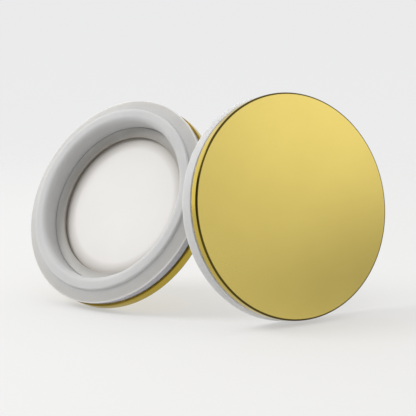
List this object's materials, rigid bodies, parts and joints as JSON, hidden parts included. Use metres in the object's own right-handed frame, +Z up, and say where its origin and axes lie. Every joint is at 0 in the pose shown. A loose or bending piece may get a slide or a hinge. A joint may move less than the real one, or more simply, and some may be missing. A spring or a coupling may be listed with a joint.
{
  "type": "coin capsule",
  "caption": "Round two-part coin capsule, shown open: each half is a gold metal cover holding a frosted ring, a white liner and a seat ring.",
  "frame": {"origin": "on the ground, below the middle of the two halves standing on their edges", "axes": "+Z up, +X from the base half towards the lid half, +Y away from the side that is looked at"},
  "size_m": [0.1004, 0.0636, 0.0602],
  "materials": {
    "gold_metal": "satin gold-coloured sheet metal, finely spun face and polished edge",
    "white_liner": "matt white foamed sheet",
    "clear_plastic": "translucent blue-grey moulded plastic",
    "frosted_silicone": "frosted translucent silicone",
    "frosted_plastic": "frosted translucent moulded plastic"
  },
  "bodies": {
    "base": {"base_cover": "gold_metal", "base_liner": "white_liner", "base_body_ring": "clear_plastic"},
    "base_seal": {"base_seal_ring": "frosted_silicone"},
    "base_seat": {"base_seat_ring": "frosted_plastic"},
    "lid": {"lid_cover": "gold_metal", "lid_liner": "white_liner", "lid_body_ring": "clear_plastic"},
    "lid_seal": {"lid_seal_ring": "frosted_silicone"},
    "lid_seat": {"lid_seat_ring": "frosted_plastic"}
  },
  "joints": [
    {"name": "lid_slide", "type": "slide", "parent": "base", "child": "lid", "axis": [0.515, -0.8572, 0], "range_m": [0, 0.06]},
    {"name": "base_seal_pull", "type": "slide", "parent": "base", "child": "base_seal", "axis": [-0.5434, -0.7159, 0.4384], "range_m": [0, 0.01]},
    {"name": "base_seat_lift", "type": "slide", "parent": "base", "child": "base_seat", "axis": [-0.5434, -0.7159, 0.4384], "range_m": [0, 0.011]},
    {"name": "lid_seal_pull", "type": "slide", "parent": "lid", "child": "lid_seal", "axis": [-0.5056, 0.8414, -0.1908], "range_m": [0, 0.01]},
    {"name": "lid_seat_lift", "type": "slide", "parent": "lid", "child": "lid_seat", "axis": [-0.5056, 0.8414, -0.1908], "range_m": [0, 0.011]}
  ]
}
